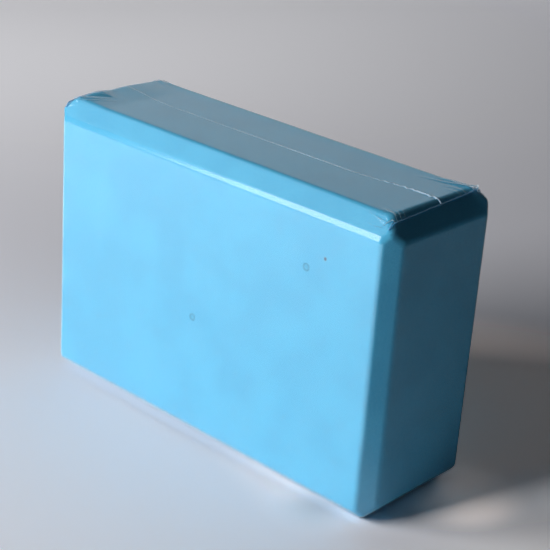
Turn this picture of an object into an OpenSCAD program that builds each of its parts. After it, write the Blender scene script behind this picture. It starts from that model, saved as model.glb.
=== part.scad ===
// Bevelled exercise block of closed-cell foam, sealed in clear shrink film.
// The block stands on its long narrow face. The origin is the middle of its footprint,
// with +X along the length, -Y out of the large front face and +Z up.

/* [Foam block] */
// Length, left to right
block_length = 228.6; // [150:0.1:320]
// Thickness, front to back
block_thickness = 76.2; // [50:0.1:120]
// Height as it stands on a long narrow face
block_height = 152.4; // [80:0.1:220]
// Leg of the bevels that run along the length
length_bevel = 8.8; // [6:0.1:14]
// Leg of the bevels that run front to back
depth_bevel = 10; // [6:0.1:14]
// Leg of the bevels on the upright edges
upright_bevel = 7.4; // [6:0.1:14]
// Radius that softens both edges of every bevel
edge_radius = 4.5; // [2:0.5:6]

/* [Shrink film] */
// Thickness of the shrunk film
film_thickness = 0.05; // [0.03:0.01:0.2]
// Width of the weld bead that trimming leaves along each seal
bead_width = 0.8; // [0.4:0.1:2]
// Height of the weld bead above the film
bead_height = 0.35; // [0.2:0.05:1]
// How far past the rounded end edges of the top face the end seals lie, in plan
end_seal_run = 0.7; // [0.2:0.1:4]
// How much further out the front end of each end seal lies than its middle
end_seal_slant = 0.7; // [0:0.1:2]
// Sideways place of the long seal along the middle of the block
seam_offset = 0.6; // [-4:0.1:4]
// How far the long seal strays to the back near both ends
seam_stray = 3.4; // [0:0.1:6]
// Length over which the long seal strays
seam_stray_length = 37; // [15:1:60]
// Length of straight seal between the strayed stretch and the left end seal
seam_left_straight = 6; // [2:1:30]
// Length of straight seal between the strayed stretch and the right end seal
seam_right_straight = 14; // [2:1:30]
// Depth of the puckers in the strayed stretch at the right
seam_pucker = 0.4; // [0:0.1:1]

/* [Gathered corners] */
// Pleats that fan out of each end of each end seal
pleats = 4; // [2:1:6]
// Length of the longest pleat over the top face
pleat_length = 24; // [10:1:40]
// Width of a pleat at the seal
pleat_width = 1.2; // [0.6:0.1:2]
// Distance between pleats along the seal
pleat_pitch = 2.6; // [2:0.1:6]
// Angle of the first pleat of each fan to the length of the block
fan_start = 4; // [0:1:20]
// Angle of the last pleat of the fans at the right
right_fan_angle = 18; // [10:1:60]
// Angle of the last pleat of the fans at the left
left_fan_angle = 48; // [10:1:60]
// Width of an ear's root in the end seal, as a share of its reach
ear_width = 1.4; // [0.8:0.1:2]
// Height of an ear's arch over the top face
ear_lift = 2.2; // [1:0.1:4]
// Reach of the loose ear over the front left corner
front_left_ear = 14; // [4:0.5:18]
// Reach of the ear over the back left corner
back_left_ear = 6; // [4:0.5:18]
// Reach of the ear over the front right corner
front_right_ear = 5; // [4:0.5:18]
// Reach of the ear over the back right corner
back_right_ear = 8; // [4:0.5:18]

/* [Hidden] */

half_length = block_length / 2;
half_thickness = block_thickness / 2;
block_middle = film_thickness + block_height / 2;
film_top = block_height + 2 * film_thickness;
film_radius = edge_radius + film_thickness;
ball_sides = 32;

// The centres of the rounding balls span a bevelled box of their own, set in by the edge
// radius. Each of its bevels is this much shorter than the outer one.
bevel_loss = (2 - sqrt(2)) * edge_radius;
long_leg = length_bevel - bevel_loss;
deep_leg = depth_bevel - bevel_loss;
upright_leg = upright_bevel - bevel_loss;

// Ball centres of one corner, as distances in from that box's end, front and top planes:
// where two bevels reach each face, and the point where all three bevels meet.
corner_steps = [
    [deep_leg, long_leg, 0],
    [upright_leg, 0, long_leg],
    [0, upright_leg, deep_leg],
    [deep_leg + upright_leg - long_leg,
     long_leg + upright_leg - deep_leg,
     long_leg + deep_leg - upright_leg] / 2
];

// The film's top face is flat as far as these lines, then rounds over into a bevel. A
// rounded edge is edge_run wide in plan.
end_edge = half_length - edge_radius - deep_leg;
long_edge = half_thickness - edge_radius - long_leg;
edge_run = film_radius / sqrt(2);

// The end seals lie just past the rounded edge. At ridge_y they cross the ridge between
// the end bevel and a long bevel.
end_seal_x = end_edge + edge_run + end_seal_run;
ridge_y = long_edge + edge_run + end_seal_run;

bead_sides = 8;
bead_sink = 0.15;
ridge_ease = 0.8;
seal_tail = 3;
seam_puckers = 4;
shortest_pleat = 0.4;
ear_thickness = 0.2;
ear_tip_gap = 0.3;
ear_root_depth = 0.8;
ear_puckers = 3;
ear_pucker = 0.25;
ear_rows = 7;
ear_columns = 12;

function ease(t) = t * t * (3 - 2 * t);

// Fall of the film below its top face, and the sine of its slope, at a distance past an edge line
function fall(run) =
    run <= 0 ? 0
    : run < edge_run ? film_radius - sqrt(film_radius ^ 2 - run ^ 2)
    : film_radius - 2 * edge_run + run;
function slope(run) = min(max(run, 0), edge_run) / film_radius;

// Height of the film and its outward direction over a place in plan
function film_z(x, y) = film_top - max(fall(abs(x) - end_edge), fall(abs(y) - long_edge));
function film_out(x, y) =
    let (end_run = abs(x) - end_edge, long_run = abs(y) - long_edge)
    end_run > long_run
        ? [sign(x) * slope(end_run), 0, sqrt(1 - slope(end_run) ^ 2)]
        : [0, sign(y) * slope(long_run), sqrt(1 - slope(long_run) ^ 2)];
function on_film(place) = [place.x, place.y, film_z(place.x, place.y)];

// Even steps from a to b, with b left out
function steps(a, b, count) = [for (i = [0 : count - 1]) a + (b - a) * i / count];

// Distance of an end seal from the middle of the block at y
function end_line(y) = end_seal_x - end_seal_slant * y / ridge_y;

// Share of the straying that the long seal has done at a distance from its end seal
function strayed(left_over, straight) =
    min(1, max(0, 1 - (left_over - straight) / seam_stray_length));

// Sideways place of the long seal at x: straying near both ends, and puckered at the right
function seam_y(x) =
    let (
        left = strayed(end_seal_x + x, seam_left_straight),
        right = strayed(end_seal_x - x, seam_right_straight)
    )
    seam_offset + seam_stray * (ease(left) + ease(right))
    + seam_pucker * sin(360 * seam_puckers * right) * ease(1 - abs(2 * right - 1));

// Triangles between two neighbouring rings of a tube
function tube_side(ring, sides) = [
    for (k = [0 : sides - 1])
        let (a = ring * sides + k, b = ring * sides + (k + 1) % sides)
        each [[a, a + sides, b], [b, a + sides, b + sides]]
];
function tube_end(first, sides, flip) = [
    for (k = [1 : sides - 2])
        flip ? [first, first + k, first + k + 1] : [first, first + k + 1, first + k]
];

// A weld bead or pleat: a tube of oval section swept along the film. path holds its places
// in plan, and widths and heights its size at each. Its centre runs bead_sink below the
// film, so that its sides leave the film at a clear angle.
module film_bead(path, widths, heights) {
    last = len(path) - 1;
    points = [
        for (i = [0 : last])
            let (
                up = film_out(path[i].x, path[i].y),
                here = on_film(path[i]) - bead_sink * up,
                along = on_film(path[min(last, i + 1)]) - on_film(path[max(0, i - 1)]),
                side = cross(up, along) / norm(cross(up, along))
            )
            for (k = [0 : bead_sides - 1])
                let (turn = 360 * k / bead_sides)
                here + side * widths[i] / 2 * cos(turn) + up * (heights[i] + bead_sink) * sin(turn)
    ];
    sides = [for (i = [0 : last - 1]) each tube_side(i, bead_sides)];
    polyhedron(
        points,
        concat(
            tube_end(0, bead_sides, true),
            sides,
            tube_end(last * bead_sides, bead_sides, false)
        )
    );
}

// Ball with points on all three of its axes, so that faces hulled from it are in true place
module ball(radius) {
    rotate_extrude($fn = ball_sides)
        intersection() {
            circle(radius, $fn = ball_sides);
            translate([0, -radius])
                square([radius, 2 * radius]);
        }
}

// The bevelled, softened block, grown by the given skin
module block_form(skin) {
    translate([0, 0, block_middle])
        hull()
            for (sx = [-1, 1], sy = [-1, 1], sz = [-1, 1], step = corner_steps)
                translate([
                    sx * (half_length - edge_radius - step.x),
                    sy * (half_thickness - edge_radius - step.y),
                    sz * (block_height / 2 - edge_radius - step.z)
                ])
                    ball(edge_radius + skin);
}

// Mirrors what is drawn at the back right corner into another corner
module to_corner(x_side, y_side) {
    mirror([x_side < 0 ? 1 : 0, 0, 0])
        mirror([0, y_side < 0 ? 1 : 0, 0])
            children();
}

// Lengthwise weld bead along the middle of the top face
module long_seal() {
    left_start = seam_left_straight + seam_stray_length - end_seal_x;
    right_start = end_seal_x - seam_right_straight - seam_stray_length;
    left_end = -end_line(seam_y(-end_seal_x));
    right_end = end_line(seam_y(end_seal_x));
    xs = concat(
        steps(left_end, -end_edge, 5),
        steps(-end_edge, left_start, 8),
        steps(left_start, right_start, 2),
        steps(right_start, end_edge, 22),
        steps(end_edge, right_end, 5),
        [right_end]
    );
    film_bead(
        [for (x = xs) [x, seam_y(x)]],
        [for (x = xs) bead_width],
        [for (x = xs) bead_height]
    );
}

// Weld bead across one end, over both ridges and a little way down the long bevels
module end_seal(side) {
    half = concat([0], steps(ridge_y - ridge_ease, ridge_y + ridge_ease, 2),
                  [ridge_y + ridge_ease, ridge_y + seal_tail]);
    ys = concat([for (i = [4 : -1 : 1]) -half[i]], half);
    film_bead(
        [for (y = ys) [side * end_line(y), y]],
        [for (y = ys) bead_width],
        [for (y = ys) bead_height]
    );
}

// Pleats of one corner: tapered ridges that leave the end seal and fan over the top face
module pleat_fan(y_side, last_angle) {
    for (i = [0 : pleats - 1]) {
        share = i / max(1, pleats - 1);
        angle = fan_start + (last_angle - fan_start) * share;
        reach = pleat_length * (1 + (shortest_pleat - 1) * share);
        root_y = ridge_y - pleat_pitch * i;
        stretch = concat(steps(0, 0.3, 5), steps(0.3, 1, 4), [1]);
        film_bead(
            [for (t = stretch) [
                end_line(y_side * root_y) - reach * t * cos(angle),
                root_y - reach * t * sin(angle)
            ]],
            [for (t = stretch) pleat_width * (1 - 0.7 * t)],
            [for (t = stretch) bead_height * (1.2 - 0.9 * t)]
        );
    }
}

// Ear of one corner: a loose, puckered flap of gathered film, rooted in the end seal and
// folded in over the top face. It is a sheet with a lower and an upper layer of points,
// where u runs from the root to the tip and v runs across.
module ear(reach, y_side) {
    root_width = ear_width * reach;
    root_x = end_line(y_side * (ridge_y - root_width / 2));
    function flap_x(u) = root_x - reach * u;
    function flap_y(u, v) = ridge_y - root_width * (0.75 * u + v * (1 - 0.85 * u));
    function flap_z(u, v) =
        film_z(flap_x(u), flap_y(u, v))
        + ear_tip_gap + (ear_lift - ear_tip_gap) * sin(180 * u)
        - (ear_root_depth + ear_tip_gap) * (1 - u) ^ 4
        + ear_pucker * cos(360 * ear_puckers * v) * (1 - u);
    points = [
        for (layer = [0, ear_thickness], i = [0 : ear_rows], j = [0 : ear_columns])
            let (u = i / ear_rows, v = j / ear_columns)
            [flap_x(u), flap_y(u, v), flap_z(u, v) + layer]
    ];
    row = ear_columns + 1;
    upper = row * (ear_rows + 1);
    rim = concat(
        [for (j = [0 : ear_columns - 1]) j],
        [for (i = [0 : ear_rows - 1]) i * row + ear_columns],
        [for (j = [ear_columns : -1 : 1]) ear_rows * row + j],
        [for (i = [ear_rows : -1 : 1]) i * row]
    );
    sheet = [
        for (i = [0 : ear_rows - 1], j = [0 : ear_columns - 1])
            let (a = i * row + j)
            each [[a, a + row, a + 1], [a + 1, a + row, a + row + 1]]
    ];
    polyhedron(
        points,
        concat(
            sheet,
            [for (t = sheet) [t[0], t[2], t[1]] + [1, 1, 1] * upper],
            [for (k = [0 : len(rim) - 1])
                let (a = rim[k], b = rim[(k + 1) % len(rim)])
                each [[a, b, a + upper], [b, b + upper, a + upper]]]
        )
    );
}

module foam_block() {
    color("lightskyblue")
        block_form(0);
}

module shrink_film() {
    color([0.9, 0.95, 1, 0.3])
        difference() {
            union() {
                block_form(film_thickness);
                long_seal();
                for (side = [-1, 1])
                    end_seal(side);
                for (x_side = [-1, 1], y_side = [-1, 1])
                    to_corner(x_side, y_side)
                        pleat_fan(y_side, x_side < 0 ? left_fan_angle : right_fan_angle);
                to_corner(-1, -1) ear(front_left_ear, -1);
                to_corner(-1, 1) ear(back_left_ear, 1);
                to_corner(1, -1) ear(front_right_ear, -1);
                to_corner(1, 1) ear(back_right_ear, 1);
            }
            block_form(0);
        }
}

foam_block();
shrink_film();
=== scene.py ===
import itertools
import math
import bmesh
import bpy
from mathutils import Euler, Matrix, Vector, noise
from mathutils.bvhtree import BVHTree


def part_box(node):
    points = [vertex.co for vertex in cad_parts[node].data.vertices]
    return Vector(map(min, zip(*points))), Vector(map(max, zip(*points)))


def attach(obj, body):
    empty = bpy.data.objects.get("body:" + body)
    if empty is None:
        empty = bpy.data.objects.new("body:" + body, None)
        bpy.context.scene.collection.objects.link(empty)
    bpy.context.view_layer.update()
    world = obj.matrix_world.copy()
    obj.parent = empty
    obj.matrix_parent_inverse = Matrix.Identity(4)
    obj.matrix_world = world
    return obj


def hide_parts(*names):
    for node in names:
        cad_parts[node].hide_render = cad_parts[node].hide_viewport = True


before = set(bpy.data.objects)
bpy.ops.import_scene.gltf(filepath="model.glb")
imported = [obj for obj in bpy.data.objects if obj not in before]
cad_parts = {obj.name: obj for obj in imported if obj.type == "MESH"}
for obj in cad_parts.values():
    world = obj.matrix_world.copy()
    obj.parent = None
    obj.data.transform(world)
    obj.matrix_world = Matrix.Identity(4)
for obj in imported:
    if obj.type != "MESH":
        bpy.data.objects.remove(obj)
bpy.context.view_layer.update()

# Everything is in metres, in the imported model's frame: origin at the middle of the
# footprint, +X along the block, -Y out of its large front face, +Z up.
MM = 0.001

# The block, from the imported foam, and its bevels
LOW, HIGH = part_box("foam_block")
HALF_LENGTH = HIGH.x
HALF_THICKNESS = HIGH.y
HALF_HEIGHT = (HIGH.z - LOW.z) / 2
MIDDLE = Vector((0, 0, (HIGH.z + LOW.z) / 2))
LENGTH_BEVEL = 8.8 * MM
DEPTH_BEVEL = 10 * MM
UPRIGHT_BEVEL = 7.4 * MM
EDGE_RADIUS = 4.5 * MM

# The rounding balls' centres fill a bevelled box of their own, with shorter bevels
BEVEL_LOSS = (2 - math.sqrt(2)) * EDGE_RADIUS
LONG_LEG = LENGTH_BEVEL - BEVEL_LOSS
DEEP_LEG = DEPTH_BEVEL - BEVEL_LOSS
UPRIGHT_LEG = UPRIGHT_BEVEL - BEVEL_LOSS
# How much shorter the bevels round the foot are
LOW_LONG_LOSS = 1.9 * MM
LOW_DEEP_LOSS = 1.3 * MM

# Layers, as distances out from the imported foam's surface
FOAM_SKIN = -0.1 * MM
FILM_INSIDE = 0
FILM_OUTSIDE = 0.05 * MM

# Shallow hollows that moulding leaves all over the block
WAVE_DEPTH = 0.16 * MM
WAVE_LENGTH = 38 * MM

# Where the moulding is fuller or leaner than the even block: places, how far they stand
# out and how far that reaches
SWELLS = [
    (Vector((-106.5, -32.5, 151.5)) * MM, 0.6 * MM, 8 * MM),
    (Vector((-108.5, 33.5, 150.0)) * MM, -0.9 * MM, 10 * MM),
    (Vector((109.5, 34.5, 4.0)) * MM, -0.5 * MM, 9 * MM),
    (Vector((107.0, 32.5, 151.0)) * MM, 1.0 * MM, 8 * MM),
    (Vector((110.0, 35.0, 147.5)) * MM, 0.7 * MM, 9 * MM),
]
# The rounding along the back of the top face is a little fuller
BACK_SWELL = 0.24 * MM
BACK_SWELL_REACH = 6 * MM
BACK_SWELL_OUT = 2 * MM
# The edge between the front face and the bevel above it is a little worn
FRONT_WEAR = 0.25 * MM
FRONT_WEAR_REACH = 2.9 * MM
FRONT_WEAR_POWER = 1.5
# The upright bevel at the front left is cut deeper, fading out short of its two ends
LEFT_TRIM = 2.7 * MM
LEFT_TRIM_SOFT = 2.4 * MM
LEFT_TRIM_FROM = (HALF_LENGTH + HALF_THICKNESS - UPRIGHT_BEVEL) * math.sqrt(0.5) - LEFT_TRIM
LEFT_TRIM_TOP = 3 * MM
LEFT_TRIM_FOOT = 1 * MM
LEFT_TRIM_FADE = 5 * MM
LEFT_TRIM_SQUAREST = 0.6

# The film's top face is flat as far as these lines, then rounds over into the bevels
FILM_TOP = HIGH.z + FILM_OUTSIDE
FILM_RADIUS = EDGE_RADIUS + FILM_OUTSIDE
END_EDGE = HALF_LENGTH - EDGE_RADIUS - DEEP_LEG
LONG_EDGE = HALF_THICKNESS - EDGE_RADIUS - LONG_LEG
EDGE_RUN = FILM_RADIUS / math.sqrt(2)

# The seals' places: the end seals, then the long seal between them, which strays to the
# back near both ends
END_SEAL_RUN = 0.7 * MM
END_SEAL_SLANT = 0.7 * MM
END_SEAL_X = END_EDGE + EDGE_RUN + END_SEAL_RUN
RIDGE_Y = LONG_EDGE + EDGE_RUN + END_SEAL_RUN
SEAM_OFFSET = 0.6 * MM
SEAM_STRAY = 3.4 * MM
SEAM_STRAY_LENGTH = 37 * MM
SEAM_LEFT_STRAIGHT = 6 * MM
SEAM_RIGHT_STRAIGHT = 14 * MM
# Puckers of the long seal: depth and length, and where they start and fade at the right
SEAM_PUCKER = 0.4 * MM
PUCKER_GAIN = 3.4
PUCKER_LENGTH = 2.1 * MM
PUCKER_FROM = 40 * MM
PUCKER_RAMP = 30 * MM
PUCKER_FADE = 4 * MM
# Every weld's fine roughness
ROUGH_LENGTH = 1.3 * MM

# Beads of the seals, and the pale lines along the creases' crests, partly whitened film and partly
# painted highlight
SEAM_WIDTH = 0.5 * MM
SEAM_HEIGHT = 0.24 * MM
SEAM_STEPS = 420
END_SEAL_WIDTH = 0.55 * MM
END_SEAL_HEIGHT = 0.42 * MM
END_SEAL_WANDER = 0.12 * MM
END_SEAL_PAST_RIDGE = 3 * MM
END_SEAL_STEPS = 130
CREST_LINE_WIDTH = 0.75 * MM
CREST_LINE_LEAST_WIDTH = 0.03 * MM
CREST_LINE_FLATNESS = 0.35
CREST_LINE_STEP = 0.6

# Creases of the film over the corners of its top face. Each has its places in plan, from
# its root by the end seal to its tip, in millimetres, then its half width and its height.
CREASES = [
    ([(106.4, 28.2), (99, 26.4), (93.5, 24.4), (86, 22.4), (78, 20.6)], 1.5, 0.55),
    ([(107.0, 30.6), (101, 30.0), (95, 29.2), (88, 28.4)], 0.9, 0.7),
    ([(106.2, 29.4), (99, 28.6), (91, 27.4), (85, 26.0)], 1.0, 0.4),
    ([(106.4, 22.9), (99.5, 21.3), (92, 19.2)], 1.0, 0.28),
    ([(106.5, 19.2), (101, 18.0), (96, 16.4)], 0.8, 0.2),
    ([(107.0, -28.2), (102, -27.2), (96, -26.0)], 1.0, 0.26),
    ([(107.0, -25.4), (103, -24.2), (99.5, -22.8)], 0.9, 0.22),
    ([(107.0, -22.4), (104, -21.2), (101.5, -20.0)], 0.8, 0.16),
    ([(104.0, -32.2), (98.0, -31.6), (92.0, -30.8)], 1.0, 0.3),
    ([(103.5, -34.4), (98.5, -34.6), (94.0, -34.2)], 0.8, 0.22),
    ([(-105.5, -30.0), (-101.4, -27.4), (-95.2, -21.3), (-91.1, -13.0)], 1.1, 0.3),
    ([(-103.0, -30.2), (-96.5, -27.4), (-91.5, -21.0), (-87.6, -14.9)], 1.0, 0.26),
    ([(-104.0, -28.6), (-98.5, -23.5), (-95.0, -18.0)], 0.8, 0.2),
    ([(-106.2, 28.6), (-100, 25.6), (-93, 23.0), (-87, 21.6)], 1.2, 0.4),
    ([(-106.2, 26.0), (-101, 22.0), (-97, 17.6)], 1.0, 0.3),
    ([(-106.0, 30.2), (-99, 28.8), (-92, 27.4)], 1.0, 0.3),
    ([(100.5, 4.4), (96, 7.4), (93, 9.6)], 0.9, 0.16),
    ([(98.5, 3.8), (94, 0.9), (91, -1.2)], 0.9, 0.14),
]
CREASE_NARROWING = 0.45
CREASE_SHARPNESS = 1.4
CREASE_FADE = 0.8
# Folds that stand clear of the foam: two places on the foot line at the end seal, the
# ridge's root and its tip, in plan, then the ridge's height, all in millimetres.
FOLDS = [
    ((-106.5, -27.5), (-106.5, -5.5), (-106.5, -16.5), (-93.2, -13.6), 1.25),
    ((108.0, 21.5), (108.0, 34.0), (108.0, 29.5), (95.0, 26.4), 0.5),
]
FOLD_RAGGEDNESS = 0.3
FOLD_SHARPNESS = 0.7
FOLD_OVERRUN = 1.1
# Film bridging from the front left gathers along the left end: places across the block
# and its height there, in millimetres, falling to nothing over a long ramp.
BRIDGE = [(-33, 0), (-25, 0.75), (-8, 0.9), (1, 1.25), (9, 1.2), (16, 0.9), (24, 0.45), (34, 0)]
BRIDGE_FROM = -82
BRIDGE_TO = -105
# How much of the bridging, and of the fold there, is the foam's own fuller edge
FOAM_BRIDGE_SHARE = 0.85
FOAM_FOLD_SHARE = 0.9
# Crumples of the film around each top corner
CRUMPLE_DEPTH = 0.42 * MM
CRUMPLE_REACH = 9 * MM
CRUMPLE_SIZE = 2.1 * MM
CRUMPLE_INSET = 2 * MM
# All of these lie past this place along the block, in millimetres, and above this depth
GATHER_FROM = 72
GATHER_DEPTH = 8 * MM
GATHER_FADE = 4 * MM

# Loose ears at the top corners: the two ends of each in plan, in metres, its height, how
# it leans across its own line, and a seed
EARS = [
    ("film_ear_back_right", (0.1034, 0.0318), (0.1066, 0.0298), 1.8 * MM, -0.4, 5),
    ("film_ear_front_right", (0.1035, -0.0335), (0.1068, -0.0300), 0.8 * MM, 0.5, 2),
    ("film_ear_front_left", (-0.1062, -0.0165), (-0.1066, -0.0060), 0.9 * MM, -1.0, 3),
    ("film_ear_back_left", (-0.1066, 0.0235), (-0.1060, 0.0300), 0.4 * MM, -1.2, 4),
]
EAR_THICKNESS = 0.07 * MM
EAR_ROOT = -0.15 * MM
EAR_FOLD = 0.5 * MM
EAR_WOBBLE = 0.25 * MM
EAR_STEPS_ALONG = 34
EAR_STEPS_UP = 12

# Meshes: quads close together within the edge zone, wider between, and fine where the
# film is gathered
EDGE_ZONE = 12 * MM
FOAM_QUADS = (0.6 * MM, 4 * MM)
FILM_QUADS = (0.8 * MM, 5 * MM)
GATHERED_QUAD = 0.8 * MM
GATHERED_FROM = 74 * MM
GATHERED_DEPTH = 9 * MM

# Marks on the front of the foam, with their radii: rings where the film clings, and specks, each with
# a pale halo that is a painted highlight
CLINGS = [
    (Vector((-4.9, -38.1, 66.6)) * MM, 1.9 * MM),
    (Vector((65.8, -38.1, 117.3)) * MM, 2.0 * MM),
]
SPECKS = [
    (Vector((76.5, -38.1, 124.8)) * MM, 0.75 * MM),
    (Vector((-2.7, -38.1, 96.8)) * MM, 0.35 * MM),
    (Vector((26.4, -38.1, 47.4)) * MM, 0.35 * MM),
    (Vector((59.2, -38.1, 37.5)) * MM, 0.4 * MM),
    (Vector((-1.5, -38.1, 88.8)) * MM, 0.3 * MM),
    (Vector((-74.6, -38.1, 41.7)) * MM, 0.35 * MM),
]


# ---------------------------------------------------------------- shapes

def ease(t):
    """Smooth step from 0 to 1."""
    t = min(1, max(0, t))
    return t * t * (3 - 2 * t)


def core_tree():
    """Search tree of the bevelled box that the rounding balls' centres fill."""
    bm = bmesh.new()
    for sx, sy, sz in itertools.product((-1, 1), repeat=3):
        long_leg = LONG_LEG if sz > 0 else LONG_LEG - LOW_LONG_LOSS
        deep_leg = DEEP_LEG if sz > 0 else DEEP_LEG - LOW_DEEP_LOSS
        steps = [
            (deep_leg, long_leg, 0),
            (UPRIGHT_LEG, 0, long_leg),
            (0, UPRIGHT_LEG, deep_leg),
            ((deep_leg + UPRIGHT_LEG - long_leg) / 2,
             (long_leg + UPRIGHT_LEG - deep_leg) / 2,
             (long_leg + deep_leg - UPRIGHT_LEG) / 2),
        ]
        for step in steps:
            bm.verts.new(MIDDLE + Vector((
                sx * (HALF_LENGTH - EDGE_RADIUS - step[0]),
                sy * (HALF_THICKNESS - EDGE_RADIUS - step[1]),
                sz * (HALF_HEIGHT - EDGE_RADIUS - step[2]),
            )))
    bmesh.ops.convex_hull(bm, input=bm.verts)
    tree = BVHTree.FromBMesh(bm)
    bm.free()
    return tree


CORE = core_tree()


def on_block(place, skin):
    """The point of the softened block, grown by skin, nearest to a place, and the way out there."""
    centre = CORE.find_nearest(place)[0]
    out = (place - centre).normalized()
    return centre + out * (EDGE_RADIUS + skin), out


def back_swell(place):
    """How much fuller the rounding along the back of the top face is at a place."""
    if place.z <= FILM_TOP - GATHER_DEPTH or place.y <= 0:
        return 0
    away = math.dist((place.y, place.z), (LONG_EDGE + BACK_SWELL_OUT, FILM_TOP))
    return BACK_SWELL * ease(1 - away / BACK_SWELL_REACH)


def front_wear(place):
    """How far the edge between the front face and the bevel above it is worn down."""
    away = math.dist((place.y, place.z), (-HALF_THICKNESS, HIGH.z - LENGTH_BEVEL))
    return FRONT_WEAR * max(0, 1 - away / FRONT_WEAR_REACH) ** FRONT_WEAR_POWER


def left_trim(place, out):
    """How far the deeper cut of the upright bevel at the front left takes the surface in."""
    over = (-place.x - place.y) * math.sqrt(0.5) - LEFT_TRIM_FROM
    if over <= 0:
        return 0
    trim = over - LEFT_TRIM_SOFT / 2
    if over < LEFT_TRIM_SOFT:
        trim = over ** 2 / (2 * LEFT_TRIM_SOFT)
    top_end = ease((HIGH.z - place.z - LEFT_TRIM_TOP) / LEFT_TRIM_FADE)
    foot_end = ease((place.z - LEFT_TRIM_FOOT) / LEFT_TRIM_FADE)
    square = max(LEFT_TRIM_SQUAREST, (-out.x - out.y) * math.sqrt(0.5))
    return top_end * foot_end * trim / square


def fullness(place, out):
    """How far the moulding stands out from the even block, which the film follows."""
    height = 0
    for centre, swell, reach in SWELLS:
        height += swell * ease(1 - (place - centre).length / reach)
    return height + back_swell(place) - front_wear(place) - left_trim(place, out)


def wave(place):
    """Depth of the shallow hollows that moulding leaves in the foam, which the film follows."""
    return WAVE_DEPTH * (0.5 + 0.5 * noise.noise(place / WAVE_LENGTH))


def graded(half, fine, coarse):
    """Places from -half to half: close together over the edges, wider between them."""
    inner = half - EDGE_ZONE
    edge_steps = round(EDGE_ZONE / fine)
    middle_steps = round(2 * inner / coarse)
    left = [-half + EDGE_ZONE * i / edge_steps for i in range(edge_steps)]
    middle = [-inner + 2 * inner * i / middle_steps for i in range(middle_steps + 1)]
    return left + middle + [-x for x in reversed(left)]


def box_grid(fine, coarse):
    """A box of quads around the block, with its lines close together along the edges."""
    xs = graded(HALF_LENGTH, fine, coarse)
    ys = graded(HALF_THICKNESS, fine, coarse)
    zs = [z + MIDDLE.z for z in graded(HALF_HEIGHT, fine, coarse)]
    bm = bmesh.new()
    made = {}

    def vert(i, j, k):
        if (i, j, k) not in made:
            made[i, j, k] = bm.verts.new((xs[i], ys[j], zs[k]))
        return made[i, j, k]

    def side(rows, columns, place):
        for a in range(rows - 1):
            for b in range(columns - 1):
                bm.faces.new((place(a, b), place(a + 1, b), place(a + 1, b + 1), place(a, b + 1)))

    nx, ny, nz = len(xs), len(ys), len(zs)
    side(nx, ny, lambda a, b: vert(a, b, nz - 1))
    side(ny, nx, lambda a, b: vert(b, a, 0))
    side(ny, nz, lambda a, b: vert(nx - 1, a, b))
    side(nz, ny, lambda a, b: vert(0, b, a))
    side(nz, nx, lambda a, b: vert(b, ny - 1, a))
    side(nx, nz, lambda a, b: vert(a, 0, b))
    return bm


def settle(bm, skin, relief):
    """Moves every vertex onto the block's own surface, grown by skin, plus the relief."""
    for v in bm.verts:
        place, out = on_block(v.co, skin)
        height = fullness(place - out * skin, out) - wave(place)
        v.co = place + out * (height + relief(place))


def finished(bm, name):
    """Makes a smooth-shaded object of a bmesh."""
    mesh = bpy.data.meshes.new(name)
    bm.to_mesh(mesh)
    bm.free()
    for polygon in mesh.polygons:
        polygon.use_smooth = True
    piece = bpy.data.objects.new(name, mesh)
    bpy.context.scene.collection.objects.link(piece)
    return piece


def film_fall(run):
    """Fall of the film below its top face at a distance past an edge line."""
    if run <= 0:
        return 0
    if run < EDGE_RUN:
        return FILM_RADIUS - math.sqrt(FILM_RADIUS ** 2 - run ** 2)
    return FILM_RADIUS - 2 * EDGE_RUN + run


def film_z(x, y):
    """Height of the taut film over a place in plan."""
    return FILM_TOP - max(film_fall(abs(x) - END_EDGE), film_fall(abs(y) - LONG_EDGE))


def film_up(x, y):
    """The taut film's outward direction over a place in plan."""
    step = 0.2 * MM
    dx = (film_z(x + step, y) - film_z(x - step, y)) / (2 * step)
    dy = (film_z(x, y + step) - film_z(x, y - step)) / (2 * step)
    return Vector((-dx, -dy, 1)).normalized()


def crease_height(x, y, points, half_width, height):
    """Height of one crease at a place in plan: a sharp crest that dies away to its tip."""
    lengths = [math.dist(a, b) for a, b in zip(points, points[1:])]
    whole = sum(lengths)
    before = 0
    best = 0
    for (ax, ay), (bx, by), length in zip(points, points[1:], lengths):
        along = ((x - ax) * (bx - ax) + (y - ay) * (by - ay)) / length ** 2
        along = min(1, max(0, along))
        away = math.dist((x, y), (ax + (bx - ax) * along, ay + (by - ay) * along))
        share = (before + along * length) / whole
        width = half_width * (1 - CREASE_NARROWING * share)
        if away < width:
            crest = (1 - away / width) ** CREASE_SHARPNESS
            best = max(best, height * crest * (1 - share) ** CREASE_FADE)
        before += length
    return best


def fold_height(x, y, foot_a, foot_b, ridge, tip, height):
    """Height of one fold: a ridge from the end seal that falls to its tip and to both feet."""
    t = (x - tip[0]) / (ridge[0] - tip[0])
    if t <= 0:
        return 0
    t = min(FOLD_OVERRUN, t)
    top = tip[1] + (ridge[1] - tip[1]) * t
    foot = foot_b if y > top else foot_a
    edge = tip[1] + (foot[1] - tip[1]) * t
    share = (y - edge) / (top - edge)
    if share <= 0:
        return 0
    ragged = 1 + FOLD_RAGGEDNESS * noise.noise(Vector((x / 3.1, y / 1.7, 4)))
    return height * min(1, t) * share ** FOLD_SHARPNESS * ragged


def bridge_height(x, y):
    """Height at which the film bridges clear of the left end's rounded edge."""
    if x > BRIDGE_FROM:
        return 0
    for (y_a, height_a), (y_b, height_b) in zip(BRIDGE, BRIDGE[1:]):
        if y_a <= y < y_b:
            height = height_a + (height_b - height_a) * (y - y_a) / (y_b - y_a)
            return height * min(1, (BRIDGE_FROM - x) / (BRIDGE_FROM - BRIDGE_TO))
    return 0


def below_top(place):
    """1 near the top face, fading to 0 at the depth that the gathers reach."""
    return ease((place.z - FILM_TOP + GATHER_DEPTH) / GATHER_FADE)


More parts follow.
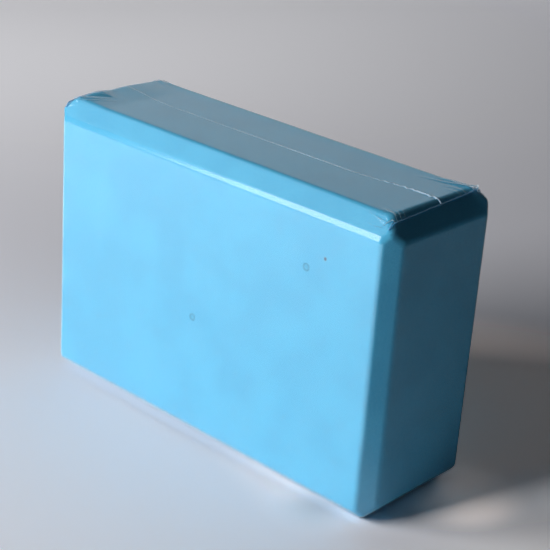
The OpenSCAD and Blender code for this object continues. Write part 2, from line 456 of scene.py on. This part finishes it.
def film_lift(place):
    """How far the film stands off the foam: creases, folds and crumples at the top corners."""
    x, y = place.x / MM, place.y / MM
    if abs(x) < GATHER_FROM or place.z < FILM_TOP - GATHER_DEPTH:
        return 0
    lift = 0
    for points, half_width, height in CREASES:
        if points[0][0] * x > 0:
            lift = max(lift, crease_height(x, y, points, half_width, height))
    for fold in FOLDS:
        if fold[0][0] * x > 0:
            lift = max(lift, fold_height(x, y, *fold))
    lift += bridge_height(x, y)
    corner_y = RIDGE_Y - CRUMPLE_INSET
    corner = Vector((math.copysign(END_SEAL_X, x), math.copysign(corner_y, y), FILM_TOP))
    near = math.exp(-((place - corner).length / CRUMPLE_REACH) ** 2)
    ridged = 1 - 2 * abs(noise.noise(place / CRUMPLE_SIZE))
    crumple = CRUMPLE_DEPTH * near * max(0, ridged) ** 2
    return (lift * MM + crumple) * below_top(place)


def foam_swell(place):
    """The foam's own fuller edge along the left end of its top face."""
    x, y = place.x / MM, place.y / MM
    if x > BRIDGE_FROM or place.z < FILM_TOP - GATHER_DEPTH:
        return 0
    swell = bridge_height(x, y) + FOAM_FOLD_SHARE * fold_height(x, y, *FOLDS[0])
    return FOAM_BRIDGE_SHARE * below_top(place) * MM * swell


def on_film(x, y, proud=0):
    """A place on the film over a place in plan, and the way out there."""
    place = Vector((x, y, film_z(x, y)))
    up = film_up(x, y)
    height = film_lift(place) + fullness(place - up * FILM_OUTSIDE, up) - wave(place)
    return place + up * (height + proud), up


# ---------------------------------------------------------------- the foam

def make_foam():
    """The foam's own surface, a hair inside the film."""
    bm = box_grid(*FOAM_QUADS)
    settle(bm, FOAM_SKIN, foam_swell)
    piece = finished(bm, "foam_body")
    piece.data.materials.append(foam_material())
    return piece


# ---------------------------------------------------------------- the film

def refine(bm, inside, limit):
    """Splits the edges inside a region until none is longer than a limit."""
    while True:
        long_edges = [
            e for e in bm.edges
            if e.calc_length() > limit and inside(e.verts[0].co) and inside(e.verts[1].co)
        ]
        if not long_edges:
            return
        bmesh.ops.subdivide_edges(bm, edges=long_edges, cuts=1, use_grid_fill=True)


def gathered(place):
    """Whether a place on the box is in the creased ends of the top face."""
    return abs(place.x) > GATHERED_FROM and place.z > FILM_TOP - GATHERED_DEPTH


def make_film_skin():
    """The clear skin: an outer and an inner surface, a film's thickness apart."""
    bm = box_grid(*FILM_QUADS)
    refine(bm, gathered, GATHERED_QUAD)
    inner = bm.copy()
    settle(bm, FILM_OUTSIDE, film_lift)
    settle(inner, FILM_INSIDE, film_lift)
    bmesh.ops.reverse_faces(inner, faces=inner.faces)
    copy = bpy.data.meshes.new("inner")
    inner.to_mesh(copy)
    inner.free()
    bm.from_mesh(copy)
    bpy.data.meshes.remove(copy)
    piece = finished(bm, "film_skin")
    piece.data.materials.append(film_material("film_clear", SKIN_MILK, SKIN_TINT))
    return piece


def tube(bm, path, widths, heights, sides=8):
    """Adds a closed bead of oval section along a path of (place, up) pairs."""
    rings = []
    last = len(path) - 1
    for i, (place, up) in enumerate(path):
        along = (path[min(last, i + 1)][0] - path[max(0, i - 1)][0]).normalized()
        across = up.cross(along).normalized()
        ring = []
        for k in range(sides):
            turn = math.tau * k / sides
            offset = across * (widths[i] / 2 * math.cos(turn)) + up * (heights[i] * math.sin(turn))
            ring.append(bm.verts.new(place + offset))
        rings.append(ring)
    for a, b in zip(rings, rings[1:]):
        for k in range(sides):
            bm.faces.new((a[k], a[(k + 1) % sides], b[(k + 1) % sides], b[k]))
    bm.faces.new(reversed(rings[0]))
    bm.faces.new(rings[-1])


def strayed(left_over, straight):
    """Share of the straying that the long seal has done at a distance from its end seal."""
    return ease(1 - (left_over - straight) / SEAM_STRAY_LENGTH)


def seam_y(x):
    """Sideways place of the long seal: straying near both ends, and puckered at the right."""
    left = strayed(END_SEAL_X + x, SEAM_LEFT_STRAIGHT)
    right = strayed(END_SEAL_X - x, SEAM_RIGHT_STRAIGHT)
    puckering = ease((x - PUCKER_FROM) / PUCKER_RAMP) * ease((END_SEAL_X - x) / PUCKER_FADE)
    pucker = PUCKER_GAIN * SEAM_PUCKER * puckering * noise.noise(Vector((x / PUCKER_LENGTH, 9, 2)))
    fine = (0.12 + 0.3 * puckering) * MM * noise.noise(Vector((x / ROUGH_LENGTH, 0, 7)))
    return SEAM_OFFSET + SEAM_STRAY * (left + right) + pucker + fine


def end_line(y):
    """Distance of an end seal from the middle of the block at a place across it."""
    return END_SEAL_X - END_SEAL_SLANT * y / RIDGE_Y


def seam_strength(x):
    """How heavy the long weld is: thin at the left, heaviest in the strayed stretch at the right."""
    strength = 0.55 + 0.45 * ease((x + 60 * MM) / (120 * MM))
    return strength + 0.7 * ease((x - 80 * MM) / (14 * MM))


def make_long_seal():
    """The lengthwise weld: faint at the left, thicker and puckered toward the right end."""
    path = []
    widths = []
    heights = []
    for i in range(SEAM_STEPS + 1):
        x = -END_SEAL_X + 2 * END_SEAL_X * i / SEAM_STEPS
        x = min(end_line(seam_y(x)), max(-end_line(seam_y(x)), x))
        rough = 1 + 0.6 * noise.noise(Vector((x / ROUGH_LENGTH, 3, 0)))
        path.append(on_film(x, seam_y(x)))
        widths.append(SEAM_WIDTH * rough * seam_strength(x))
        heights.append(SEAM_HEIGHT * rough * seam_strength(x))
    bm = bmesh.new()
    tube(bm, path, widths, heights)
    piece = finished(bm, "film_long_seal")
    piece.data.materials.append(seal_material())
    return piece


def make_end_seal(side, name):
    """The weld across one end, a thin fin over both ridges."""
    reach = RIDGE_Y + END_SEAL_PAST_RIDGE
    path = []
    widths = []
    heights = []
    for i in range(END_SEAL_STEPS + 1):
        y = reach * (2 * i / END_SEAL_STEPS - 1)
        wander = END_SEAL_WANDER * noise.noise(Vector((y / (3 * MM), side * 5, 1)))
        x = side * (end_line(y) + wander)
        rough = 1 + 0.4 * noise.noise(Vector((y / ROUGH_LENGTH, side * 3, 0)))
        path.append(on_film(x, y))
        widths.append(END_SEAL_WIDTH * rough)
        heights.append(END_SEAL_HEIGHT * rough)
    bm = bmesh.new()
    tube(bm, path, widths, heights)
    piece = finished(bm, name)
    piece.data.materials.append(film_material("film_weld", WELD_MILK, WELD_TINT))
    return piece


def make_crest_lines():
    """Pale lines along the creases' crests: partly whitened film, partly painted highlight."""
    bm = bmesh.new()
    for points, _, height in CREASES:
        places = []
        for (ax, ay), (bx, by) in zip(points, points[1:]):
            steps = max(2, round(math.dist((ax, ay), (bx, by)) / CREST_LINE_STEP))
            places += [(ax + (bx - ax) * k / steps, ay + (by - ay) * k / steps) for k in range(steps)]
        last = len(places) - 1
        path = [on_film(x * MM, y * MM) for x, y in places]
        fades = [(1 - i / last) ** 0.7 + 0.05 for i in range(last + 1)]
        rough = [1 + 0.7 * noise.noise(Vector((i / 2.3, points[0][1], 6))) for i in range(last + 1)]
        widths = [CREST_LINE_WIDTH * height * f * r + CREST_LINE_LEAST_WIDTH for f, r in zip(fades, rough)]
        tube(bm, path, widths, [CREST_LINE_FLATNESS * w for w in widths], 6)
    piece = finished(bm, "film_crest_lines")
    piece.data.materials.append(film_material("film_crest_milk_and_highlight", CREST_MILK_AND_HIGHLIGHT, CREST_MILK_AND_HIGHLIGHT_TINT))
    return piece


def make_ear(name, start, end, rise, lean, seed):
    """A loose, crumpled scrap of trimmed film that stands along a short line in plan."""
    run = (Vector(end) - Vector(start)).normalized()
    across = Vector((-run.y, run.x, 0))
    bm = bmesh.new()
    rows = []
    for j in range(EAR_STEPS_UP + 1):
        v = j / EAR_STEPS_UP
        row = []
        for i in range(EAR_STEPS_ALONG + 1):
            u = i / EAR_STEPS_ALONG
            x = start[0] + (end[0] - start[0]) * u
            y = start[1] + (end[1] - start[1]) * u
            root, up = on_film(x, y, EAR_ROOT)
            tall = rise * math.sin(math.pi * (0.04 + 0.92 * u)) ** 0.6
            tall *= 1 + 0.45 * noise.noise(Vector((u * 5, seed, 0)))
            fold = EAR_FOLD * v * noise.noise(Vector((u * 9, v * 1.5, seed)))
            place = root + up * (tall * v * (1 - 0.3 * v))
            place += across * (lean * v * v * tall + fold)
            place.y += EAR_WOBBLE * v * noise.noise(Vector((u * 6, v * 2, seed + 3)))
            row.append(bm.verts.new(place))
        rows.append(row)
    for a, b in zip(rows, rows[1:]):
        for i in range(EAR_STEPS_ALONG):
            bm.faces.new((a[i], a[i + 1], b[i + 1], b[i]))
    bmesh.ops.solidify(bm, geom=bm.faces[:], thickness=EAR_THICKNESS)
    piece = finished(bm, name)
    # Near-white milk: partly whitened film, partly painted highlight
    piece.data.materials.append(film_material("film_ear", EAR_MILK_AND_GLINT, EAR_MILK_AND_GLINT_TINT))
    return piece


# ---------------------------------------------------------------- materials

class Nodes:
    """A material's node tree, with short ways to add and join nodes."""

    def __init__(self, name):
        self.material = bpy.data.materials.new(name)
        self.material.use_nodes = True
        self.tree = self.material.node_tree
        self.tree.nodes.clear()
        self.place = self.add("TexCoord").outputs["Object"]

    def add(self, kind, **settings):
        """A new node, by the part of its type's name after ShaderNode."""
        node = self.tree.nodes.new("ShaderNode" + kind)
        for key, value in settings.items():
            setattr(node, key, value)
        return node

    def put(self, socket, value):
        """Joins a socket to another, or sets its value."""
        if isinstance(value, bpy.types.NodeSocket):
            self.tree.links.new(value, socket)
        elif isinstance(value, (tuple, list)) and socket.type == "RGBA" and len(value) == 3:
            socket.default_value = (*value, 1)
        else:
            socket.default_value = value

    def noise(self, size, detail=2, roughness=0.5):
        node = self.add("TexNoise")
        self.put(node.inputs["Vector"], self.place)
        node.inputs["Scale"].default_value = 1 / size
        node.inputs["Detail"].default_value = detail
        node.inputs["Roughness"].default_value = roughness
        return node.outputs["Fac"]

    def cells(self, size):
        node = self.add("TexVoronoi")
        self.put(node.inputs["Vector"], self.place)
        node.inputs["Scale"].default_value = 1 / size
        return node.outputs["Distance"]

    def math(self, operation, a, b):
        node = self.add("Math", operation=operation)
        self.put(node.inputs[0], a)
        self.put(node.inputs[1], b)
        return node.outputs[0]

    def ramp(self, value, low, high, to_low=0.0, to_high=1.0):
        """Smooth ramp of a value, level outside its two ends."""
        node = self.add("MapRange", interpolation_type="SMOOTHSTEP")
        self.put(node.inputs["Value"], value)
        node.inputs["From Min"].default_value = low
        node.inputs["From Max"].default_value = high
        node.inputs["To Min"].default_value = to_low
        node.inputs["To Max"].default_value = to_high
        return node.outputs["Result"]

    def mix(self, factor, a, b):
        node = self.add("Mix", data_type="RGBA")
        self.put(node.inputs["Factor"], factor)
        for socket in node.inputs:
            if socket.type == "RGBA" and socket.name == "A":
                self.put(socket, a)
            if socket.type == "RGBA" and socket.name == "B":
                self.put(socket, b)
        return [s for s in node.outputs if s.type == "RGBA"][0]

    def bump(self, height, distance, strength):
        node = self.add("Bump")
        self.put(node.inputs["Height"], height)
        node.inputs["Distance"].default_value = distance
        node.inputs["Strength"].default_value = strength
        return node.outputs["Normal"]

    def near(self, centre, radius, soft):
        """1 inside a ball, fading to 0 over its soft rim."""
        node = self.add("VectorMath", operation="DISTANCE")
        self.put(node.inputs[0], self.place)
        node.inputs[1].default_value = centre
        return self.ramp(node.outputs["Value"], radius - soft, radius + soft, 1.0, 0.0)

    def surface(self, shader):
        """Ends the tree with a shader, and gives the material."""
        self.tree.links.new(shader, self.add("OutputMaterial").inputs["Surface"])
        return self.material


MOTTLE_SIZE = 26 * MM
GRAIN_SIZE = 0.9 * MM
GRAIN_DEPTH = 0.05 * MM
PORE_SIZE = 1.7 * MM
FOAM_DEEP = (0.098, 0.52, 0.78)
FOAM_PALE = (0.111, 0.575, 0.84)
FOAM_GRAIN = (0.065, 0.455, 0.75)
FOAM_PORE = (0.035, 0.34, 0.63)
CLING_RIM = (0.02, 0.26, 0.47)
CLING_INSIDE = (0.03, 0.38, 0.62)
# The pale halo round each speck is a painted highlight
SPECK_HALO_PAINTED_HIGHLIGHT = (0.24, 0.66, 0.92)
SPECK_CORE = (0.1, 0.13, 0.22)


def cling_mark(n, colour, centre, radius):
    """A darker ring, and a slightly darker patch inside it, where the film clings."""
    outer = n.near(centre, radius, 0.35 * MM)
    inner = n.near(centre, 0.62 * radius, 0.5 * MM)
    colour = n.mix(n.math("SUBTRACT", outer, inner), colour, CLING_RIM)
    inside = n.near(centre, 0.8 * radius, 0.5 * MM)
    return n.mix(n.math("MULTIPLY", inside, 0.5), colour, CLING_INSIDE)


def speck(n, colour, centre, radius):
    """A dark speck with a faint pale halo, a painted highlight where the film stands over the speck.
    """
    # Painted highlight: a pale halo where the film stands over the speck
    painted_halo = n.near(centre, 2.4 * radius, 1.2 * radius)
    colour = n.mix(n.math("MULTIPLY", painted_halo, 0.2), colour, SPECK_HALO_PAINTED_HIGHLIGHT)
    core = n.near(centre, 1.15 * radius, 0.35 * radius)
    return n.mix(n.math("MULTIPLY", core, 0.95), colour, SPECK_CORE)


def foam_material():
    """Closed-cell foam: a fine matt skin, faintly mottled, with marks where the film clings."""
    n = Nodes("foam_skin")
    mottle = n.ramp(n.noise(MOTTLE_SIZE, 3), 0.35, 0.65)
    colour = n.mix(mottle, FOAM_DEEP, FOAM_PALE)
    grain = n.noise(GRAIN_SIZE, 3, 0.6)
    colour = n.mix(n.ramp(grain, 0.35, 0.7, 0.0, 0.5), colour, FOAM_GRAIN)
    pores = n.cells(PORE_SIZE)
    colour = n.mix(n.ramp(pores, 0.08, 0.25, 0.5, 0.0), colour, FOAM_PORE)
    for centre, radius in CLINGS:
        colour = cling_mark(n, colour, centre, radius)
    for centre, radius in SPECKS:
        colour = speck(n, colour, centre, radius)
    shader = n.add("BsdfPrincipled")
    n.put(shader.inputs["Base Color"], colour)
    n.put(shader.inputs["Roughness"], n.ramp(grain, 0.2, 0.8, 0.55, 0.7))
    shader.inputs["Specular IOR Level"].default_value = 0.45
    n.put(shader.inputs["Normal"], n.bump(grain, GRAIN_DEPTH, 0.3))
    return n.surface(shader.outputs["BSDF"])


FILM_CLEAR = (0.985, 0.992, 1)
FILM_WHITE = (1, 1, 1)
FILM_ROUGHNESS = 0.15
RIPPLE_SIZE = 8 * MM
RIPPLE_DEPTH = 0.04 * MM
SHEEN_HEAD_ON = 0.04
SHEEN_MOST = 0.5
HAZE_THROUGH = 0.4
# How milky each part of the film is, from clear to white, and the tint of its milk; on the creases'
# crest lines and on the ears the milk is also a painted highlight
SKIN_MILK = 0.013
WELD_MILK = 0.7
# The crest lines' milk is partly whitened film and partly a painted highlight along the crests
CREST_MILK_AND_HIGHLIGHT = 0.42
# The ears' near-white milk is partly whitened film and partly a painted highlight standing in for
# their glints
EAR_MILK_AND_GLINT = 0.85
SKIN_TINT = (0.66, 0.87, 1)
WELD_TINT = (0.36, 0.74, 1)
CREST_MILK_AND_HIGHLIGHT_TINT = (0.5, 0.82, 1)
EAR_MILK_AND_GLINT_TINT = (0.86, 0.95, 1)


def film_sheen(n, ripple):
    """Share of light that the film mirrors: little head on, more at a glancing view."""
    facing = n.add("LayerWeight")
    facing.inputs["Blend"].default_value = 0.5
    n.put(facing.inputs["Normal"], ripple)
    glancing = n.math("POWER", facing.outputs["Facing"], 5)
    sheen = n.math("MULTIPLY_ADD", glancing, 1 - SHEEN_HEAD_ON)
    sheen.node.inputs[2].default_value = SHEEN_HEAD_ON
    return n.math("MINIMUM", sheen, SHEEN_MOST)


def two_shaders(n, factor, first, second):
    """A mix of two shaders."""
    mixed = n.add("MixShader")
    n.put(mixed.inputs["Fac"], factor)
    n.put(mixed.inputs[1], first)
    n.put(mixed.inputs[2], second)
    return mixed.outputs["Shader"]


def film_shader(n, milk, tint):
    """Ends a tree as film: clear where it isn't milky, under a faintly rippled gloss."""
    ripple = n.bump(n.noise(RIPPLE_SIZE, 2), RIPPLE_DEPTH, 0.45)
    clear = n.add("BsdfTransparent")
    n.put(clear.inputs["Color"], FILM_CLEAR)
    gloss = n.add("BsdfAnisotropic")
    n.put(gloss.inputs["Color"], FILM_WHITE)
    n.put(gloss.inputs["Roughness"], FILM_ROUGHNESS)
    n.put(gloss.inputs["Normal"], ripple)
    front = n.add("BsdfDiffuse")
    n.put(front.inputs["Color"], tint)
    through = n.add("BsdfTranslucent")
    n.put(through.inputs["Color"], tint)
    haze = two_shaders(n, HAZE_THROUGH, front.outputs["BSDF"], through.outputs["BSDF"])
    film = two_shaders(n, milk, clear.outputs["BSDF"], haze)
    return n.surface(two_shaders(n, film_sheen(n, ripple), film, gloss.outputs["BSDF"]))


def film_material(name, milk, tint):
    """Film that is equally milky all over."""
    return film_shader(Nodes(name), milk, tint)


def seal_material():
    """The long weld: nearly clear at the left, whitened where it is puckered at the right."""
    n = Nodes("film_long_weld")
    split = n.add("SeparateXYZ")
    n.put(split.inputs["Vector"], n.place)
    x = split.outputs["X"]
    whole = n.ramp(x, -80 * MM, 60 * MM, 0.3, 0.42)
    puckered = n.ramp(x, 66 * MM, 90 * MM, 0, 0.5)
    return film_shader(n, n.math("ADD", whole, puckered), SKIN_TINT)


# ---------------------------------------------------------------- studio

FLOOR_RADIUS = 1.7
SWEEP = 0.5
WALL_TOP = 2.1
FLOOR_STEPS = 8
TURNS = 96
FLOOR_DROP = 0.1 * MM


def make_cyclorama():
    """A round floor that sweeps up into a wall on every side."""
    profile = [(FLOOR_RADIUS * t / FLOOR_STEPS, 0) for t in range(1, FLOOR_STEPS + 1)]
    for t in range(1, FLOOR_STEPS + 1):
        turn = math.pi / 2 * t / FLOOR_STEPS
        profile.append((FLOOR_RADIUS + SWEEP * math.sin(turn), SWEEP * (1 - math.cos(turn))))
    profile.append((FLOOR_RADIUS + SWEEP, WALL_TOP))
    bm = bmesh.new()
    centre = bm.verts.new((0, 0, 0))
    rings = []
    for radius, height in profile:
        ring = []
        for k in range(TURNS):
            turn = math.tau * k / TURNS
            ring.append(bm.verts.new((radius * math.cos(turn), radius * math.sin(turn), height)))
        rings.append(ring)
    for k in range(TURNS):
        after = (k + 1) % TURNS
        bm.faces.new((centre, rings[0][k], rings[0][after]))
        for a, b in zip(rings, rings[1:]):
            bm.faces.new((a[k], b[k], b[after], a[after]))
    floor = finished(bm, "studio_floor")
    floor.location.z = -FLOOR_DROP
    floor.data.materials.append(paper_material())


# The paper's tones as the camera sees it, painted light and shade: plain, palest where light is
# painted in, painted lighter in the block's shadow and in the part of it close to the block, painted
# lighter on a patch past the right end and where the right end lights it, and painted shade at the
# foot of the front right corner
PAPER_PLAIN = (0.78, 0.78, 0.84)
PAPER_PAINTED_LIGHT = (1.78, 1.78, 1.84)
PAPER_SHADOW_PAINTED_LIGHTER = (1.75, 1.74, 1.8)
PAPER_SHADOW_CLOSE_PAINTED_LIGHTER = (2.1, 1.72, 1.55)
PAPER_RIGHT_PAINTED_LIGHT = (0.98, 0.96, 0.98)
PAPER_GLOW = (3.9, 3.3, 3.0)
PAPER_FOOT_PAINTED_SHADE = (0.74, 0.78, 0.84)


def paper_seen(n, x, y):
    """The paper's tone to the camera, with painted light and shade: paler at the back left and in
    front, lighter in the block's shadow, darker at the foot of the front right corner.
    """
    # Painted pools of light: paler at the back left, in front and at the back
    back_left_painted_light = n.math("MULTIPLY", n.near((-0.74, 0.48, 0), 0.42, 0.31), 0.44)
    front = n.math("MULTIPLY", n.ramp(y, 0.1, -0.17), 0.16)
    back = n.math("MULTIPLY", n.near((-0.4, 0.65, 0), 0.3, 0.25), 0.09)
    painted_light_tone = n.math("ADD", n.math("ADD", back_left_painted_light, front), back)
    colour = n.mix(painted_light_tone, PAPER_PLAIN, PAPER_PAINTED_LIGHT)
    # How far a place is to the right, across the way that the shadow falls
    beside = n.math("SUBTRACT", n.math("MULTIPLY", x, 0.839), n.math("MULTIPLY", y, 0.545))
    # Painted light lifting the block's shadow, warmer close to the block
    shadow_painted_lighter = n.mix(n.ramp(beside, 0.1, 0.06), PAPER_SHADOW_PAINTED_LIGHTER, PAPER_SHADOW_CLOSE_PAINTED_LIGHTER)
    shade = n.math("MULTIPLY", n.ramp(beside, 0.128, 0.09), n.near((0.1, 0.09, 0), 0.115, 0.045))
    # Painted light on a patch past the right end
    colour = n.mix(n.near((0.18, 0.0, 0), 0.04, 0.04), colour, PAPER_RIGHT_PAINTED_LIGHT)
    colour = n.mix(shade, colour, shadow_painted_lighter)
    # Painted light by the right end's foot, as if thrown down from it
    colour = n.mix(n.near((0.121, 0.024, 0), 0.02, 0.018), colour, PAPER_GLOW)
    # Painted shade at the foot of the front right corner
    return n.mix(n.near((0.085, -0.04, 0), 0.012, 0.012), colour, PAPER_FOOT_PAINTED_SHADE)


# Painted reflections: the paper's tones as the film mirrors them: in front of the block, under it,
# past its right end at the front and at the back, and far away at the right and at the back left
MIRRORED_FRONT = (1.8, 1.79, 1.78)
MIRRORED_UNDER = (1.15, 1.15, 1.15)
MIRRORED_RIGHT_FRONT = (0.02, 0.02, 0.02)
MIRRORED_RIGHT_BACK = (0.45, 0.45, 0.45)
MIRRORED_FAR_RIGHT = (0.05, 0.05, 0.05)
MIRRORED_FAR_LEFT = (0.75, 0.8, 0.85)


def paper_painted_reflections(n, x, y, around):
    """Painted reflections: the paper's tone in reflections, pale in front, dark past the right end.
    """
    right = n.math("ADD", x, n.math("MULTIPLY", y, 0.35))
    dark = n.mix(n.ramp(y, -0.1, 0.1), MIRRORED_RIGHT_FRONT, MIRRORED_RIGHT_BACK)
    pale = n.mix(n.ramp(y, -0.042, -0.034), MIRRORED_FRONT, MIRRORED_UNDER)
    close = n.mix(n.ramp(right, 0.05, 0.17), pale, dark)
    far = n.mix(n.ramp(around, 0.25, 0.7), MIRRORED_FAR_RIGHT, MIRRORED_FAR_LEFT)
    return n.mix(n.near((0, 0, 0), 0.9, 0.55), far, close)


# What the paper throws back onto the block: plain, and just off its front right corner
PAPER_BOUNCE = (0.57, 0.63, 0.69)
PAPER_BOUNCE_RIGHT = (0.95, 1.05, 1.15)
# The wall, which glows as painted light, and how strongly it shows in reflections and to the camera
WALL_COLOUR = (0.84, 0.93, 1)
WALL_PAINTED_REFLECTION = 0.56
WALL_SEEN = 0.3


def paper_material():
    """Pale paper with painted light and shade: the camera and reflections see it as it was lit, and
    its wall glows; it throws little light back.
    """
    n = Nodes("studio_paper")
    split = n.add("SeparateXYZ")
    n.put(split.inputs["Vector"], n.place)
    x, y, z = split.outputs
    rays = n.add("LightPath")
    camera_ray = rays.outputs["Is Camera Ray"]
    seen = n.math("MAXIMUM", camera_ray, rays.outputs["Is Glossy Ray"])
    # Grows toward the back left, which the top face mirrors
    around = n.math("ADD", n.math("MULTIPLY", x, -0.3), n.math("MULTIPLY", y, 0.34))
    paper = n.mix(camera_ray, paper_painted_reflections(n, x, y, around), paper_seen(n, x, y))
    bounce = n.mix(n.near((0.17, -0.07, 0), 0.07, 0.05), PAPER_BOUNCE, PAPER_BOUNCE_RIGHT)
    floor = n.add("BsdfDiffuse")
    n.put(floor.inputs["Color"], n.mix(seen, bounce, paper))
    wall = n.add("Emission")
    n.put(wall.inputs["Color"], WALL_COLOUR)
    # Painted reflection: the wall glows brightest at the back left, high up, where the top face
    # mirrors it
    back_left_painted_light = n.ramp(around, 0.5, 0.95, 0.0, WALL_PAINTED_REFLECTION)
    wall_painted_reflection = n.math("MULTIPLY", back_left_painted_light, n.ramp(z, 0.8, 1.95, 1, 0.1))
    plain = n.math("MULTIPLY", camera_ray, WALL_SEEN)
    n.put(wall.inputs["Strength"], n.math("MAXIMUM", n.math("MULTIPLY", wall_painted_reflection, seen), plain))
    up_the_sweep = n.ramp(z, 0.0, 0.3)
    return n.surface(two_shaders(n, up_the_sweep, floor.outputs["BSDF"], wall.outputs["Emission"]))


# Soft boxes: azimuth to the left of the front, elevation, distance from the block, width,
# height, power, colour, and the kind of light that each leaves out
LAMPS = [
    ("key", 33, 22, 1.9, 1.4, 0.75, 46.5, (1, 0.99, 0.98), "glossy"),
    ("glow", 33, 19, 1.9, 0.66, 1.4, 14, (1, 1, 1), "diffuse"),
    ("over", 63, 43, 1.9, 1.3, 1.1, 2.8, (1, 1, 1), "diffuse"),
    ("back_fill", 160, 7, 1.6, 1.0, 0.35, 2.5, (1, 1, 1), "glossy"),
]
SKY_COLOUR = (0.75, 0.87, 1, 1)
SKY_STRENGTH = 0.042


def make_lamp(name, azimuth, elevation, distance, width, height, power, colour, left_out):
    """A soft box that faces the block."""
    a, e = math.radians(azimuth), math.radians(elevation)
    way = Vector((-math.sin(a) * math.cos(e), -math.cos(a) * math.cos(e), math.sin(e)))
    light = bpy.data.lights.new(name, "AREA")
    light.shape = "RECTANGLE"
    light.size = width
    light.size_y = height
    light.energy = power
    light.color = colour
    lamp = bpy.data.objects.new(name, light)
    lamp.location = MIDDLE + way * distance
    lamp.rotation_euler = way.to_track_quat("Z", "Y").to_euler()
    lamp.visible_camera = False
    setattr(lamp, "visible_" + left_out, False)
    bpy.context.scene.collection.objects.link(lamp)


def make_world():
    """Faint bluish light from all round."""
    world = bpy.data.worlds.new("studio")
    world.use_nodes = True
    background = world.node_tree.nodes["Background"]
    background.inputs["Color"].default_value = SKY_COLOUR
    background.inputs["Strength"].default_value = SKY_STRENGTH
    bpy.context.scene.world = world


CAMERA_LENS = 99.1
CAMERA_SENSOR = 36
CAMERA_PLACE = (0.47276, -0.52094, 0.38233)
CAMERA_TURN = (66.79, -3.839, 43.013)


def make_camera():
    """A long lens from the front right, a little above the block."""
    camera = bpy.data.objects.new("camera", bpy.data.cameras.new("camera"))
    camera.data.lens = CAMERA_LENS
    camera.data.sensor_width = CAMERA_SENSOR
    camera.location = CAMERA_PLACE
    camera.rotation_euler = Euler([math.radians(angle) for angle in CAMERA_TURN])
    bpy.context.scene.collection.objects.link(camera)
    bpy.context.scene.camera = camera


# ---------------------------------------------------------------- assembly

make_camera()
make_cyclorama()
make_world()
for lamp in LAMPS:
    make_lamp(*lamp)

foam = make_foam()
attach(foam, "root")
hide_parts("foam_block")

film_pieces = [
    make_film_skin(),
    make_long_seal(),
    make_end_seal(-1, "film_left_seal"),
    make_end_seal(1, "film_right_seal"),
    make_crest_lines(),
]
film_pieces += [make_ear(*ear) for ear in EARS]
for piece in film_pieces:
    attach(piece, "root")
    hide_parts("shrink_film")

scene = bpy.context.scene
scene.view_settings.view_transform = "Standard"
